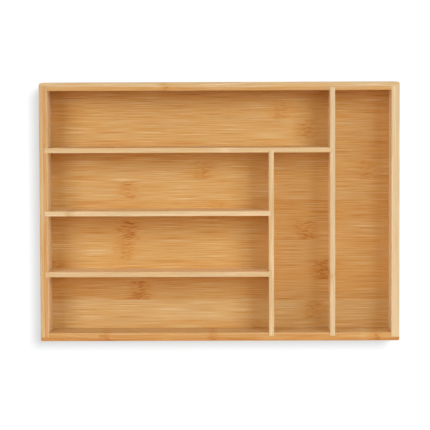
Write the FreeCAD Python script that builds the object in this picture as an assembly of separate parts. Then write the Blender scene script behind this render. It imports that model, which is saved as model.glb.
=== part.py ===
import FreeCAD, Part
import os

# Cutlery tray of ten glued bamboo boards. Millimetres, +X right, +Y to the back, +Z up.
# The origin is the middle of the footprint, on the surface that the tray stands on.

# Boards
tray_height = 50.0
wall_thickness = 7.7
divider_thickness = 4.7
floor_thickness = 4.0
floor_rise = 2.0

# Clear sizes of the compartments, left to right and then back to front
small_compartment_length = 213.4
middle_column_width = 54.3
right_column_width = 54.3
rear_row_depth = 55.0
second_row_depth = 56.4
third_row_depth = 54.2
front_row_depth = 54.4

# Joints: how deep one board is let into another, and the room left for glue and for the floor to move
corner_rebate_depth = 4.3
wall_housing_depth = 3.1
divider_housing_depth = 1.9
floor_groove_depth = 3.0
glue_gap = 0.1
floor_clearance = 0.2

# Sanding after the tray is glued up
edge_easing = 0.7
easing_bulge_share = 0.17
corner_rounding = 1.6

# How far a cutting solid runs past the face that it opens
overrun = 1.0

# Way of turning a corner when a section is carried along a route: 1 keeps the corner square
square_corners = 1

# Places along X, from the left wall's inner face to the right wall's
inner_width = (small_compartment_length + middle_column_width + right_column_width
               + 2 * divider_thickness)
left_inner = -inner_width / 2
short_upright_left = left_inner + small_compartment_length
short_upright_right = short_upright_left + divider_thickness
long_upright_left = short_upright_right + middle_column_width
long_upright_right = long_upright_left + divider_thickness
right_inner = inner_width / 2
right_outer = right_inner + wall_thickness

# Places along Y, from the back wall's inner face to the front wall's
inner_depth = (rear_row_depth + second_row_depth + third_row_depth + front_row_depth
               + 3 * divider_thickness)
back_inner = inner_depth / 2
long_cross_back = back_inner - rear_row_depth
long_cross_front = long_cross_back - divider_thickness
rear_short_back = long_cross_front - second_row_depth
rear_short_front = rear_short_back - divider_thickness
front_short_back = rear_short_front - third_row_depth
front_short_front = front_short_back - divider_thickness
front_inner = -inner_depth / 2
back_outer = back_inner + wall_thickness

floor_top = floor_rise + floor_thickness


def block(low, high):
    """Box from its lowest corner to its highest."""
    low = FreeCAD.Vector(*low)
    size = FreeCAD.Vector(*high) - low
    return Part.makeBox(size.x, size.y, size.z, low)


def grown(corners, side, top):
    """Room for a board: its corners moved out by side in X and Y, and by top upwards."""
    (x0, y0, z0), (x1, y1, z1) = corners
    return block((x0 - side, y0 - side, z0), (x1 + side, y1 + side, z1 + top))


def divider(x0, y0, x1, y1):
    """Corners of a divider that stands on the floor and reaches the rim."""
    return (x0, y0, floor_top), (x1, y1, tray_height)


def wall(x0, y0, x1, y1):
    """Corners of a wall that stands on the ground and reaches the rim."""
    return (x0, y0, 0), (x1, y1, tray_height)


# Blanks: the full size of each board with the length that is let into its neighbours
wall_tongue = wall_housing_depth - glue_gap
divider_tongue = divider_housing_depth - glue_gap
corner_tongue = corner_rebate_depth - glue_gap
floor_tongue = floor_groove_depth - floor_clearance

blanks = {
    "back_wall": wall(-right_outer, back_inner, right_outer, back_outer),
    "front_wall": wall(-right_outer, -back_outer, right_outer, front_inner),
    "left_wall": wall(-right_outer, front_inner - corner_tongue, left_inner, back_inner + corner_tongue),
    "right_wall": wall(right_inner, front_inner - corner_tongue, right_outer, back_inner + corner_tongue),
    "floor_panel": ((left_inner - floor_tongue, front_inner - floor_tongue, floor_rise),
                    (right_inner + floor_tongue, back_inner + floor_tongue, floor_top)),
    "long_upright": divider(long_upright_left, front_inner - wall_tongue,
                            long_upright_right, back_inner + wall_tongue),
    "long_cross_divider": divider(left_inner - wall_tongue, long_cross_front,
                                  long_upright_left + divider_tongue, long_cross_back),
    "short_upright": divider(short_upright_left, front_inner - wall_tongue,
                             short_upright_right, long_cross_front + divider_tongue),
    "rear_short_divider": divider(left_inner - wall_tongue, rear_short_front,
                                  short_upright_left + divider_tongue, rear_short_back),
    "front_short_divider": divider(left_inner - wall_tongue, front_short_front,
                                   short_upright_left + divider_tongue, front_short_back),
}

# The boards that each board takes in: side walls in rebates, dividers in housings
lets_in = {
    "back_wall": ["left_wall", "right_wall", "long_upright"],
    "front_wall": ["left_wall", "right_wall", "long_upright", "short_upright"],
    "left_wall": ["long_cross_divider", "rear_short_divider", "front_short_divider"],
    "long_upright": ["long_cross_divider"],
    "long_cross_divider": ["short_upright"],
    "short_upright": ["rear_short_divider", "front_short_divider"],
}
grooved_walls = ["back_wall", "front_wall", "left_wall", "right_wall"]

# Openings of the six compartments at the rim, as x0, y0, x1, y1
compartments = [
    (left_inner, long_cross_back, long_upright_left, back_inner),
    (left_inner, rear_short_back, short_upright_left, long_cross_front),
    (left_inner, front_short_back, short_upright_left, rear_short_front),
    (left_inner, front_inner, short_upright_left, front_short_front),
    (short_upright_right, front_inner, long_upright_left, long_cross_front),
    (long_upright_right, front_inner, right_inner, back_inner),
]


def eased_lip(x0, y0, x1, y1):
    """What sanding takes off the rim round a compartment: a ring with square corners.

    Its section is bounded by an arc from the opening's face to the rim, flatter than a quarter round."""
    foot = tray_height - edge_easing
    start = FreeCAD.Vector((x0 + x1) / 2, y0, foot)
    turns = [FreeCAD.Vector(x, y, foot) for x, y in [(x1, y0), (x1, y1), (x0, y1), (x0, y0)]]
    rim = start + FreeCAD.Vector(0, -edge_easing, edge_easing)
    bulge = edge_easing * easing_bulge_share
    crown = (start + rim) / 2 + FreeCAD.Vector(0, bulge, bulge)
    above = rim + FreeCAD.Vector(0, 0, overrun)
    clear_above = FreeCAD.Vector(start.x, start.y + overrun, above.z)
    clear_foot = FreeCAD.Vector(start.x, start.y + overrun, foot)
    section = Part.Wire([Part.Arc(start, crown, rim).toShape()]
                        + Part.makePolygon([rim, above, clear_above, clear_foot, start]).Edges)
    route = Part.makePolygon([start, *turns, start])
    return route.makePipeShell([section], True, False, square_corners)


def sanded_envelope():
    """The outside of the whole tray: a box with rounded corners and eased top and bottom edges."""
    box = block((-right_outer, -back_outer, 0), (right_outer, back_outer, tray_height))
    upright = [e for e in box.Edges if e.BoundBox.ZLength > edge_easing]
    rounded = box.makeFillet(corner_rounding, upright)
    level = [e for e in rounded.Edges if e.BoundBox.ZLength < edge_easing]
    return rounded.makeFillet(edge_easing, level)


def housings(name):
    """The room that a board gives to every board let into it."""
    return [grown(blanks[guest], glue_gap, overrun) for guest in lets_in.get(name, [])]


def floor_groove():
    """The groove round the inside of the walls, with room for the floor panel to move."""
    return grown(blanks["floor_panel"], floor_clearance, floor_clearance)


def board(name, envelope, lips):
    """One board: its blank, sanded with the rest of the tray, less what it takes in."""
    solid = block(*blanks[name]).common(envelope)
    cutters = housings(name)
    if name in grooved_walls:
        cutters.append(floor_groove())
    return solid.cut(cutters + lips).removeSplitter()


def main():
    os.makedirs("parts", exist_ok=True)
    envelope = sanded_envelope()
    lips = [eased_lip(*opening) for opening in compartments]
    for name in blanks:
        shape = board(name, envelope, lips)
        print(name, len(shape.Solids), round(shape.Volume), shape.isValid())
        shape.exportStep(f"parts/{name}.step")


main()
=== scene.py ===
import math

import bpy
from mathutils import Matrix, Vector


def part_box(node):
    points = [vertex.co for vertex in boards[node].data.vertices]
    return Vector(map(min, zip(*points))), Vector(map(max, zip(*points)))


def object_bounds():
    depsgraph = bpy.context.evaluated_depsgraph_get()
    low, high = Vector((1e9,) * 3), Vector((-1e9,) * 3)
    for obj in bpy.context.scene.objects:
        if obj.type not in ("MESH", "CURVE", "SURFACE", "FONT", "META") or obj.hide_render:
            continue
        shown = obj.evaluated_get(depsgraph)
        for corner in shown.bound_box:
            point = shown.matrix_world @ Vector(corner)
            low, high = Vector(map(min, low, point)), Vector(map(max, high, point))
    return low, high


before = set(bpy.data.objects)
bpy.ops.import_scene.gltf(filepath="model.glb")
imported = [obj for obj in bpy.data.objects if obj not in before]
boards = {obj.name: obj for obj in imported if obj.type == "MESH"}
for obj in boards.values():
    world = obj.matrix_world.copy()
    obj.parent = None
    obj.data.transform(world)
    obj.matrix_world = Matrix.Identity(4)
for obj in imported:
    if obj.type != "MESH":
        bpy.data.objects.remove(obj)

# Looks of a cutlery tray glued up from ten bamboo boards. Metres, in the frame of the solids.
cad_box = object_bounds()
tray_height = cad_box[1][2] - cad_box[0][2]
scene = bpy.context.scene

# Camera, almost straight above the tray
camera_place = (0.0210, 0.1500, 2.2300)
camera_turn_degrees = (-4.009, 0.652, -0.177)
camera_lens = 189.86
camera_sensor = 36.0

# Studio: a high soft box on the left and right, a little behind the tray and the right one stronger, a weak
# low box in front, a low fill on all four sides, a lamp for the studio floor and a dim warm room
softbox_place = (0.70, 0.31, 1.07)
softbox_back = (0.0, 0.30, 1.0)
softbox_size = (0.60, 0.66)
softbox_colour = (0.875, 1.01, 1.10)
left_softbox_power = 7.3
right_softbox_power = 8.5
front_box_place = (0.0, -0.32, 0.28)
front_box_size = (0.90, 0.10)
front_box_power = 0.50
fill_away = 1.90
fill_height = 0.20
fill_size = (1.60, 0.30)
fill_power = 6.5
floor_lamp_back = (0.23, 0.23, 1.0)
floor_lamp_spread_degrees = 15.0
floor_lamp_strength = 4.6
room_light = (0.30, 0.11, 0.035, 1.0)
white = (1.0, 1.0, 1.0, 1.0)
stage_half = 6.0
stage_colour = (0.24, 0.25, 0.26, 1.0)
stage_roughness = 1.0
stage_glow = 0.66
stage_glow_colour = (0.925, 0.985, 1.0, 1.0)

# Bamboo: mean size of each mark along the grain, across the strip and through the board
cloud_size = (0.140, 0.022, 0.022)
blush_size = (0.060, 0.008, 0.008)
streak_size = (0.090, 0.0034, 0.0034)
line_size = (0.038, 0.0006, 0.0006)
fibre_size = (0.012, 0.0006, 0.0006)
pore_size = (0.016, 0.0004, 0.0004)
mottle_size = (0.0065, 0.0013, 0.0013)
bend_size = (0.012, 0.009, 0.009)
wobble_size = (0.500, 0.006, 0.006)

# How many layers of finer noise are added to a mark
plain_detail = 0.0
soft_detail = 1.0
rough_detail = 2.0

# Strips that lie side by side: their seams, and the most that the grain slips along a strip
strip_width = 0.0197
floor_first_seam = 0.0286
floor_strips_in_front = 8
wall_first_seam = 0.006
seam_width = 0.0003
strip_slip = 3.0

# Knuckles and pale patches: how far they reach along the grain and stray from a straight line, and how far
# a knuckle bends the grain
floor_knuckle_reach = 0.010
rim_spot_reach = 0.004
spot_wobble = 0.004
knuckle_bend = 0.003

# Knuckles of the floor: their places on x and y, and how strong each one is
floor_knuckle_places = [
    (0.0594, 0.097), (0.0847, 0.081), (-0.0156, 0.041), (0.1435, 0.041), (-0.0906, 0.022),
    (-0.0030, 0.000), (-0.0895, -0.018), (0.0847, -0.018), (-0.0935, -0.038), (0.1019, -0.058),
    (-0.1605, -0.058), (-0.0796, -0.078), (0.0918, -0.097), (0.0387, -0.119),
]
floor_knuckle_shares = [0.5, 0.9, 0.8, 0.6, 0.9, 0.5, 1.2, 1.0, 0.8, 1.1, 0.7, 1.0, 0.9, 0.5]

# Knuckles and pale patches of the upright boards: their places along the board, from its middle
back_knuckle_places = [-0.0525]
front_knuckle_places = [-0.1115, -0.0071, 0.1516]
long_upright_knuckle_places = [-0.0623]
rear_short_knuckle_places = [-0.0848]
front_patch_places = [0.1395]
long_cross_patch_places = [0.0358]
rim_spot_share = 0.7

# How far each mark changes the paleness of the bamboo; the floor's strips have listed tones instead
cloud_share = 0.08
streak_share = 0.06
floor_line_share = 0.37
upright_line_share = 0.18
pale_line_share = 0.07
fibre_share = 0.12
pore_share = 0.08
floor_tone_share = 0.0
upright_tone_share = 0.03
seam_share = 0.06
mottle_share = 0.25
knuckle_share = 0.08
end_grain_share = 0.14
pale_patch_share = 0.12

# How much of these changes a board shows, apart from knuckles, end grain and pale patches
full_mark_share = 1.0
cross_mark_share = 0.6
calm_mark_share = 0.35

# Where noise, a strip's side or a turned face begins to count, and where it counts in full
pale_line_rise_shares = (0.62, 0.72)
pore_rise_shares = (0.62, 0.72)
mottle_rise_shares = (0.40, 0.62)
strip_side_shares = (0.9, 1.0)
end_facing_shares = (0.7, 0.95)

# Paleness of each board's plies, outer face first, as pairs of paleness and thickness. The thin last ply at
# an inner face, paler than the rest of its board, is painted light: it makes the inner faces paler to stand
# in for light that they get too little of, and it shows as a pale line along the rim's edge
back_ply_shares = [(0.81, 0.52), (0.58, 0.48)]
front_ply_shares = [(0.43, 0.40), (0.51, 0.40), (0.59, 0.16), (0.75, 0.04)]
left_ply_shares = [(0.63, 0.18), (0.72, 0.30), (0.53, 0.24), (0.61, 0.25), (1.00, 0.03)]
right_ply_shares = [(0.92, 0.42), (0.94, 0.55), (1.00, 0.03)]
long_upright_ply_shares = [(1.00, 0.03), (0.92, 0.52), (0.94, 0.41), (1.00, 0.04)]
long_cross_ply_shares = [(1.00, 0.03), (0.88, 0.52), (0.90, 0.41), (1.00, 0.04)]
short_upright_ply_shares = [(1.00, 0.03), (0.87, 0.52), (0.89, 0.41), (1.00, 0.04)]
rear_short_ply_shares = [(1.00, 0.03), (0.94, 0.52), (0.96, 0.41), (1.00, 0.04)]
front_short_ply_shares = [(1.00, 0.03), (0.83, 0.52), (0.85, 0.41), (1.00, 0.04)]

# Paleness of the floor's strips, from the front to the back: each strip's own tone, partly adjusted as
# painted light and shade where the strip lies in the shade at the back of a compartment; the backmost strip
# is darkened as painted shade
floor_strip_shares = [0.71, 0.78, 0.62, 0.59, 0.66, 0.65, 0.58, 0.69, 0.66, 0.61, 0.67, 0.62, 0.54]

# How yellow each board is, between two rows of colours, and how far that drifts within a board
pale_yellow_share = 0.0
short_divider_yellow_share = 0.25
long_cross_yellow_share = 0.6
back_yellow_share = 0.3
front_yellow_share = 0.3
floor_yellow_share = 0.85
blush_share = 0.5

# Lacquer, and the fine relief under it
lacquer_roughness = 0.50
lacquer_specular = 0.20
fibre_roughness_share = 0.12
pore_hollow_share = 0.6
mottle_hollow_share = 0.4
relief_depth = 0.00012
relief_strength = 0.35

# Turns, in degrees, that lay each board's frame along it: grain on x, strips on y, plies on z from outside
flat = (0, 0, 0)
facing_front = (90, 0, 0)
facing_back = (-90, 0, 0)
facing_right = (90, 0, 90)
facing_left = (90, 0, -90)

# The boards, in the order that gives each one's grain its random start
board_order = ["floor_panel", "back_wall", "front_wall", "left_wall", "right_wall", "long_upright",
               "long_cross_divider", "short_upright", "rear_short_divider", "front_short_divider"]

# Step from display values to the linear values that shaders take
display_white = 255
display_offset_share = 0.055
display_power = 2.4
opaque = 1.0


def linear(red, green, blue):
    """A colour written in display values, as linear ones: (share + offset) / (1 + offset), to a power."""
    shares = [value / display_white for value in (red, green, blue)]
    lifted = [(share + display_offset_share) / (1 + display_offset_share) for share in shares]
    return (*[share ** display_power for share in lifted], opaque)


# Bamboo from its darkest marks to its palest ply, where it is pinkish and where it is yellow. The palest
# pink
# stop is painted light: it is the colour of the thin face plies, set pale and warm so that the inner faces
# look lit
pink_colours = [
    (0.00, linear(112, 62, 28)),
    (0.25, linear(184, 118, 56)),
    (0.50, linear(207, 157, 91)),
    (0.75, linear(214, 181, 129)),
    (0.90, linear(219, 197, 152)),
    (0.97, linear(231, 210, 167)),
    (1.00, linear(250, 221, 176)),
]
yellow_colours = [
    (0.00, linear(116, 62, 26)),
    (0.25, linear(188, 120, 51)),
    (0.50, linear(211, 156, 81)),
    (0.75, linear(220, 179, 111)),
    (1.00, linear(230, 202, 149)),
]


def feed(tree, socket, value):
    """Links a socket to another one, or sets it to a plain value."""
    if isinstance(value, bpy.types.NodeSocket):
        tree.links.new(value, socket)
    else:
        socket.default_value = value


def add(tree, kind, inputs=None, **settings):
    """A shader node of a kind, with its settings and with its inputs by name or number."""
    node = tree.nodes.new("ShaderNode" + kind)
    for name, value in settings.items():
        setattr(node, name, value)
    for key, value in (inputs or {}).items():
        feed(tree, node.inputs[key], value)
    return node


def calc(tree, operation, *values):
    """The result of one sum on numbers."""
    return add(tree, "Math", dict(enumerate(values)), operation=operation).outputs[0]


def calc_vector(tree, operation, *values):
    """The result of one sum on vectors."""
    return add(tree, "VectorMath", dict(enumerate(values)), operation=operation).outputs[0]


def times(tree, one, other):
    """The product of two values."""
    return calc(tree, "MULTIPLY", one, other)


def opposite(tree, value):
    """One less a value."""
    return calc(tree, "SUBTRACT", 1.0, value)


def total(tree, *values):
    """The sum of any number of values."""
    result = values[0]
    for value in values[1:]:
        result = calc(tree, "ADD", result, value)
    return result


def ramp_up(tree, value, low, high):
    """Zero below low and one above high, with a smooth rise between them."""
    inputs = {"Value": value, "From Min": low, "From Max": high}
    return add(tree, "MapRange", inputs, interpolation_type="SMOOTHSTEP").outputs[0]


def drawn_noise(tree, place, size, detail):
    """Noise about a half, on a place measured in the mark's size along, across and through the board."""
    scaled = calc_vector(tree, "DIVIDE", place, size)
    return add(tree, "TexNoise", {"Vector": scaled, "Scale": 1.0, "Detail": detail}).outputs[0]


def swing(tree, value, share):
    """A value about a half as a change about zero, at most share either way: (2 value - 1) share."""
    return times(tree, calc(tree, "SUBTRACT", times(tree, value, 2.0), 1.0), share)


def new_group(name, inputs, outputs):
    """An empty node group with named sockets, its input sockets and its output sockets."""
    tree = bpy.data.node_groups.new(name, "ShaderNodeTree")
    for side, sockets in (("INPUT", inputs), ("OUTPUT", outputs)):
        for label, kind in sockets.items():
            tree.interface.new_socket(name=label, in_out=side, socket_type="NodeSocket" + kind)
    given = tree.nodes.new("NodeGroupInput").outputs
    wanted = tree.nodes.new("NodeGroupOutput").inputs
    return tree, given, wanted


def use(tree, group, **inputs):
    """The outputs of a node group placed in a material or in another group."""
    node = add(tree, "Group", node_tree=group)
    for name, value in inputs.items():
        feed(tree, node.inputs[name.replace("_", " ")], value)
    return node.outputs


def set_stops(ramp, stops):
    """Gives a colour ramp its stops, each a position and a colour."""
    elements = ramp.color_ramp.elements
    while len(elements) < len(stops):
        elements.new(1.0)
    for element, (position, colour) in zip(elements, stops):
        element.position = position
        element.color = colour


def make_strips():
    """Strips side by side across a board: a random tone and slip for each, and a line at each seam."""
    tree, given, wanted = new_group(
        "bamboo strips",
        {"Across": "Float", "First seam": "Float", "Seed": "Float"},
        {"Tone": "Float", "Slip": "Float", "Seam": "Float"},
    )
    past_seam = calc(tree, "SUBTRACT", given["Across"], given["First seam"])
    count = calc(tree, "DIVIDE", past_seam, strip_width)
    number = calc(tree, "FLOOR", count)
    within = calc(tree, "SUBTRACT", count, number)
    pick = add(tree, "CombineXYZ", {"X": number, "Y": given["Seed"]})
    random = add(tree, "TexWhiteNoise", {"Vector": pick.outputs[0]}, noise_dimensions="2D")
    apart = add(tree, "SeparateColor", {"Color": random.outputs["Color"]})
    edge = calc(tree, "MINIMUM", within, opposite(tree, within))
    feed(tree, wanted["Tone"], apart.outputs[0])
    feed(tree, wanted["Slip"], times(tree, apart.outputs[1], strip_slip))
    feed(tree, wanted["Seam"], opposite(tree, ramp_up(tree, edge, 0.0, seam_width / strip_width)))
    return tree


def make_spot():
    """A knuckle or a patch on one strip: a bell along the grain, cut off at the strip's sides."""
    tree, given, wanted = new_group(
        "bamboo spot",
        {"Along": "Float", "Across": "Float", "Centre along": "Float", "Centre across": "Float",
         "Half width": "Float", "Reach": "Float", "Strength": "Float"},
        {"Zone": "Float"},
    )
    ahead = calc(tree, "SUBTRACT", given["Along"], given["Centre along"])
    away = calc(tree, "DIVIDE", ahead, given["Reach"])
    bell = calc(tree, "EXPONENT", times(tree, times(tree, away, away), -1.0))
    aside = calc(tree, "ABSOLUTE", calc(tree, "SUBTRACT", given["Across"], given["Centre across"]))
    side = calc(tree, "DIVIDE", aside, given["Half width"])
    inside = opposite(tree, ramp_up(tree, side, *strip_side_shares))
    feed(tree, wanted["Zone"], times(tree, times(tree, bell, inside), given["Strength"]))
    return tree


def make_grain(strips):
    """A board's grain: strips, lines, fibres, pores and knuckles as paleness, yellowness and relief."""
    tree, given, wanted = new_group(
        "bamboo grain",
        {"Place": "Vector", "First seam": "Float", "Seed": "Float", "Paleness": "Float",
         "Yellowness": "Float", "Tone share": "Float", "Line share": "Float", "Mark share": "Float",
         "Knuckle": "Float"},
        {"Paleness": "Float", "Yellowness": "Float", "Roughness": "Float", "Relief": "Float"},
    )
    across = add(tree, "SeparateXYZ", {"Vector": given["Place"]}).outputs["Y"]
    tone, slip, seam = use(tree, strips, Across=across, First_seam=given["First seam"], Seed=given["Seed"])
    bend_noise = drawn_noise(tree, given["Place"], bend_size, soft_detail)
    bend = swing(tree, bend_noise, times(tree, given["Knuckle"], knuckle_bend))
    shift = add(tree, "CombineXYZ", {"X": slip, "Y": bend, "Z": given["Seed"]}).outputs[0]
    place = calc_vector(tree, "ADD", given["Place"], shift)
    clouds = drawn_noise(tree, place, cloud_size, soft_detail)
    blush = drawn_noise(tree, place, blush_size, soft_detail)
    streaks = drawn_noise(tree, place, streak_size, rough_detail)
    lines = drawn_noise(tree, place, line_size, plain_detail)
    line_share = times(tree, given["Line share"], opposite(tree, given["Knuckle"]))
    pale_lines = ramp_up(tree, lines, *pale_line_rise_shares)
    fibres = drawn_noise(tree, place, fibre_size, rough_detail)
    pores = ramp_up(tree, drawn_noise(tree, place, pore_size, plain_detail), *pore_rise_shares)
    mottle = ramp_up(tree, drawn_noise(tree, place, mottle_size, rough_detail), *mottle_rise_shares)
    dashes = times(tree, given["Knuckle"], mottle)
    marks = total(
        tree,
        swing(tree, tone, given["Tone share"]),
        swing(tree, clouds, cloud_share),
        swing(tree, streaks, streak_share),
        swing(tree, lines, line_share),
        times(tree, pale_lines, pale_line_share),
        swing(tree, fibres, fibre_share),
        times(tree, pores, -pore_share),
        times(tree, seam, -seam_share),
    )
    paleness = total(
        tree,
        given["Paleness"],
        times(tree, marks, given["Mark share"]),
        times(tree, dashes, -mottle_share),
        times(tree, given["Knuckle"], -knuckle_share),
    )
    yellowness = calc(tree, "ADD", given["Yellowness"], swing(tree, blush, blush_share))
    roughness = calc(tree, "ADD", lacquer_roughness, swing(tree, fibres, fibre_roughness_share))
    hollows = total(tree, times(tree, pores, pore_hollow_share), seam,
                    times(tree, dashes, mottle_hollow_share))
    feed(tree, wanted["Paleness"], paleness)
    feed(tree, wanted["Yellowness"], yellowness)
    feed(tree, wanted["Roughness"], roughness)
    feed(tree, wanted["Relief"], calc(tree, "SUBTRACT", fibres, hollows))
    return tree


def make_colour():
    """The colour of bamboo from its paleness and its yellowness."""
    tree, given, wanted = new_group("bamboo colour", {"Paleness": "Float", "Yellowness": "Float"},
                                    {"Colour": "Color"})
    shades = []
    for stops in (pink_colours, yellow_colours):
        ramp = add(tree, "ValToRGB", {"Fac": given["Paleness"]})
        set_stops(ramp, stops)
        shades.append(ramp.outputs["Color"])
    pink, yellow = shades
    mixed = add(tree, "MixRGB", {"Fac": given["Yellowness"], "Color1": pink, "Color2": yellow},
                use_clamp=True)
    feed(tree, wanted["Colour"], mixed.outputs[0])
    return tree


spot_group = make_spot()
grain_group = make_grain(make_strips())
colour_group = make_colour()


def layer_stops(layers):
    """Stops of a stepped ramp, from pairs of a layer's paleness and its share of the whole."""
    stops = []
    start = 0.0
    for paleness, thickness in layers:
        stops.append((start, (paleness, paleness, paleness, opaque)))
        start += thickness
    return stops


def stepped(tree, value, start, span, layers):
    """The paleness of the layer that a place lies in, where the layers fill a span from its start."""
    share = calc(tree, "DIVIDE", calc(tree, "SUBTRACT", value, start), span)
    ramp = add(tree, "ValToRGB", {"Fac": share})
    ramp.color_ramp.interpolation = "CONSTANT"
    set_stops(ramp, layer_stops(layers))
    return ramp.outputs["Color"]


class Board:
    """The start of a board's material: places in the board's own frame, along, across and through it."""

    def __init__(self, name, turn):
        self.name = name
        self.seed = 1.0 + board_order.index(name)
        self.low, self.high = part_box(name)
        centre = (self.low + self.high) / 2
        angles = [math.radians(angle) for angle in turn]
        self.material = bpy.data.materials.new(name + "_bamboo")
        self.material.use_nodes = True
        tree = self.tree = self.material.node_tree
        source = add(tree, "TexCoord").outputs
        lie = {"Vector": source["Object"], "Location": centre, "Rotation": angles}
        face = {"Vector": source["Normal"], "Rotation": angles}
        self.place = add(tree, "Mapping", lie, vector_type="TEXTURE").outputs[0]
        self.facing = add(tree, "Mapping", face, vector_type="TEXTURE").outputs[0]
        self.along, self.across, self.through = add(tree, "SeparateXYZ", {"Vector": self.place}).outputs


def zone_of(board, along, spots):
    """How far a place lies within any of the spots on a board, from zero outside to a spot's strength."""
    zones = 0.0
    for centre_along, centre_across, half_width, reach, strength in spots:
        spot = use(board.tree, spot_group, Along=along, Across=board.across, Centre_along=centre_along,
                   Centre_across=centre_across, Half_width=half_width, Reach=reach, Strength=strength)
        zones = calc(board.tree, "MAXIMUM", zones, spot["Zone"])
    return zones


def finish_board(board, paleness, first_seam, knuckles, patches, shares):
    """Adds strips, grain, knuckles, pale patches and lacquer to a board of a given paleness."""
    tree = board.tree
    shader = tree.nodes["Principled BSDF"]
    wobble = drawn_noise(tree, board.place, wobble_size, soft_detail)
    along = calc(tree, "ADD", board.along, swing(tree, wobble, spot_wobble))
    look = use(tree, grain_group, Place=board.place, First_seam=first_seam, Seed=board.seed,
               Paleness=paleness, Knuckle=zone_of(board, along, knuckles), **shares)
    blaze = times(tree, zone_of(board, along, patches), pale_patch_share)
    end = calc(tree, "ABSOLUTE", add(tree, "SeparateXYZ", {"Vector": board.facing}).outputs["X"])
    end_grain = times(tree, ramp_up(tree, end, *end_facing_shares), -end_grain_share)
    shown = total(tree, look["Paleness"], end_grain, blaze)
    shade = use(tree, colour_group, Paleness=shown, Yellowness=look["Yellowness"])["Colour"]
    bump = add(tree, "Bump", {"Height": look["Relief"], "Strength": relief_strength,
                              "Distance": relief_depth})
    feed(tree, shader.inputs["Base Color"], shade)
    feed(tree, shader.inputs["Roughness"], look["Roughness"])
    shader.inputs["Specular IOR Level"].default_value = lacquer_specular
    feed(tree, shader.inputs["Normal"], bump.outputs[0])
    boards[board.name].material_slots[0].material = board.material


def floor_knuckle(x, y, strength):
    """A knuckle of the floor at x, over the width of the strip that holds y."""
    number = math.floor((y - floor_first_seam) / strip_width)
    half_width = strip_width / 2
    middle = floor_first_seam + number * strip_width + half_width
    return x, middle, half_width, floor_knuckle_reach, strength


def rim_spot(along):
    """A spot of an upright board that far from the board's middle, over its whole height."""
    return along, 0.0, tray_height, rim_spot_reach, rim_spot_share


def dress_floor():
    """Finishes the floor, whose strips lie side by side from the front to the back."""
    board = Board("floor_panel", flat)
    count = len(floor_strip_shares)
    start = floor_first_seam - floor_strips_in_front * strip_width
    layers = [(paleness, 1 / count) for paleness in floor_strip_shares]
    # The strips' tones include painted light and shade where strips lie in the shade at the back of the
    # compartments
    paleness = stepped(board.tree, board.across, start, count * strip_width, layers)
    knuckles = [floor_knuckle(x, y, strength)
                for (x, y), strength in zip(floor_knuckle_places, floor_knuckle_shares)]
    shares = {"Yellowness": floor_yellow_share, "Tone_share": floor_tone_share,
              "Line_share": floor_line_share, "Mark_share": full_mark_share}
    finish_board(board, paleness, floor_first_seam, knuckles, [], shares)


def dress_upright_board(name, turn, plies, yellow_share, mark_share, knuckle_places=(), patch_places=()):
    """Finishes a wall or a divider, which is glued up from plies."""
    board = Board(name, turn)
    thickness = min(board.high - board.low)
    # The thin pale plies at the inner faces are painted light, making those faces paler as if better lit
    paleness = stepped(board.tree, board.through, -thickness / 2, thickness, plies)
    knuckles = [rim_spot(along) for along in knuckle_places]
    patches = [rim_spot(along) for along in patch_places]
    shares = {"Yellowness": yellow_share, "Tone_share": upright_tone_share,
              "Line_share": upright_line_share, "Mark_share": mark_share}
    finish_board(board, paleness, wall_first_seam, knuckles, patches, shares)


dress_floor()
dress_upright_board("back_wall", facing_front, back_ply_shares, back_yellow_share, full_mark_share,
                    back_knuckle_places)
dress_upright_board("front_wall", facing_back, front_ply_shares, front_yellow_share, full_mark_share,
                    front_knuckle_places, front_patch_places)
dress_upright_board("left_wall", facing_right, left_ply_shares, pale_yellow_share, full_mark_share)
dress_upright_board("right_wall", facing_left, right_ply_shares, pale_yellow_share, calm_mark_share)
dress_upright_board("long_upright", facing_right, long_upright_ply_shares, pale_yellow_share,
                    calm_mark_share, long_upright_knuckle_places)
dress_upright_board("long_cross_divider", facing_front, long_cross_ply_shares, long_cross_yellow_share,
                    cross_mark_share, patch_places=long_cross_patch_places)
dress_upright_board("short_upright", facing_right, short_upright_ply_shares, short_divider_yellow_share,
                    full_mark_share)
dress_upright_board("rear_short_divider", facing_front, rear_short_ply_shares, short_divider_yellow_share,
                    cross_mark_share, rear_short_knuckle_places)
dress_upright_board("front_short_divider", facing_front, front_short_ply_shares, short_divider_yellow_share,
                    cross_mark_share)


def seen_directly(tree):
    """One where the camera, a reflection or a view through glass looks at a surface, and zero elsewhere."""
    path = add(tree, "LightPath")
    mirrored = calc(tree, "MAXIMUM", path.outputs["Is Glossy Ray"], path.outputs["Is Transmission Ray"])
    return calc(tree, "MAXIMUM", path.outputs["Is Camera Ray"], mirrored)


def make_stage():
    """A pale floor that the camera sees as white where no shadow falls."""
    corners = [(-stage_half, -stage_half, 0), (stage_half, -stage_half, 0),
               (stage_half, stage_half, 0), (-stage_half, stage_half, 0)]
    mesh = bpy.data.meshes.new("studio_floor")
    mesh.from_pydata(corners, [], [(0, 1, 2, 3)])
    floor = bpy.data.objects.new("studio_floor", mesh)
    scene.collection.objects.link(floor)
    material = bpy.data.materials.new("studio_floor")
    material.use_nodes = True
    tree = material.node_tree
    shader = tree.nodes["Principled BSDF"]
    shader.inputs["Base Color"].default_value = stage_colour
    shader.inputs["Roughness"].default_value = stage_roughness
    shader.inputs["Specular IOR Level"].default_value = 0.0
    shader.inputs["Emission Color"].default_value = stage_glow_colour
    feed(tree, shader.inputs["Emission Strength"], times(tree, seen_directly(tree), stage_glow))
    mesh.materials.append(material)
    return floor


def make_room():
    """A dim even light from all round, which the camera sees as white."""
    world = bpy.data.worlds.new("room")
    scene.world = world
    world.use_nodes = True
    tree = world.node_tree
    background = tree.nodes["Background"]
    shown = add(tree, "MixRGB", {"Fac": seen_directly(tree), "Color1": room_light, "Color2": white})
    feed(tree, background.inputs["Color"], shown.outputs[0])


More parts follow.
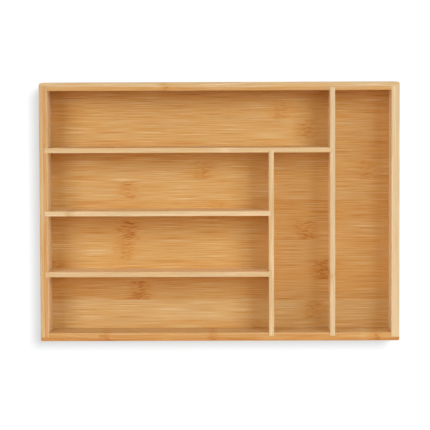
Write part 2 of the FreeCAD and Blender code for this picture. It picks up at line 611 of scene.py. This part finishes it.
def lit_collection(name, objects):
    """A collection of objects that a lamp lights."""
    collection = bpy.data.collections.new(name)
    for item in objects:
        collection.objects.link(item)
    return collection


def lamp(name, kind, place, back, lit):
    """A lamp that shines away from the direction of its back, on the objects in one collection."""
    light = bpy.data.lights.new(name, kind)
    holder = bpy.data.objects.new(name, light)
    scene.collection.objects.link(holder)
    holder.location = place
    holder.rotation_mode = "QUATERNION"
    holder.rotation_quaternion = Vector(back).to_track_quat("Z", "Y")
    holder.visible_camera = False
    holder.light_linking.receiver_collection = lit
    return light


def soft_lamp(name, place, back, size, power):
    """A rectangular soft box for the tray."""
    light = lamp(name, "AREA", place, back, tray_lit)
    light.shape = "RECTANGLE"
    light.size, light.size_y = size
    light.energy = power
    return light


studio_floor = make_stage()
make_room()
tray_lit = lit_collection("lit_tray", boards.values())
floor_lit = lit_collection("lit_floor", [studio_floor])
soft_lamp("front_box", front_box_place, front_box_place, front_box_size, front_box_power)
for side, sign, power in (("left", -1, left_softbox_power), ("right", 1, right_softbox_power)):
    x, y, z = softbox_place
    box = soft_lamp(side + "_softbox", (sign * x, y, z), softbox_back, softbox_size, power)
    box.color = softbox_colour
for side, (x, y) in {"front": (0, -1), "back": (0, 1), "left": (-1, 0), "right": (1, 0)}.items():
    place = (x * fill_away, y * fill_away, fill_height)
    soft_lamp(side + "_fill", place, place, fill_size, fill_power)
floor_lamp = lamp("floor_lamp", "SUN", softbox_place, floor_lamp_back, floor_lit)
floor_lamp.angle = math.radians(floor_lamp_spread_degrees)
floor_lamp.energy = floor_lamp_strength


def make_camera():
    """The camera at the photograph's place and angle."""
    camera = bpy.data.cameras.new("camera")
    camera.lens = camera_lens
    camera.sensor_width = camera_sensor
    holder = bpy.data.objects.new("camera", camera)
    scene.collection.objects.link(holder)
    holder.location = camera_place
    holder.rotation_mode = "YXZ"
    holder.rotation_euler = [math.radians(angle) for angle in camera_turn_degrees]
    scene.camera = holder


make_camera()
scene.view_settings.view_transform = "Standard"
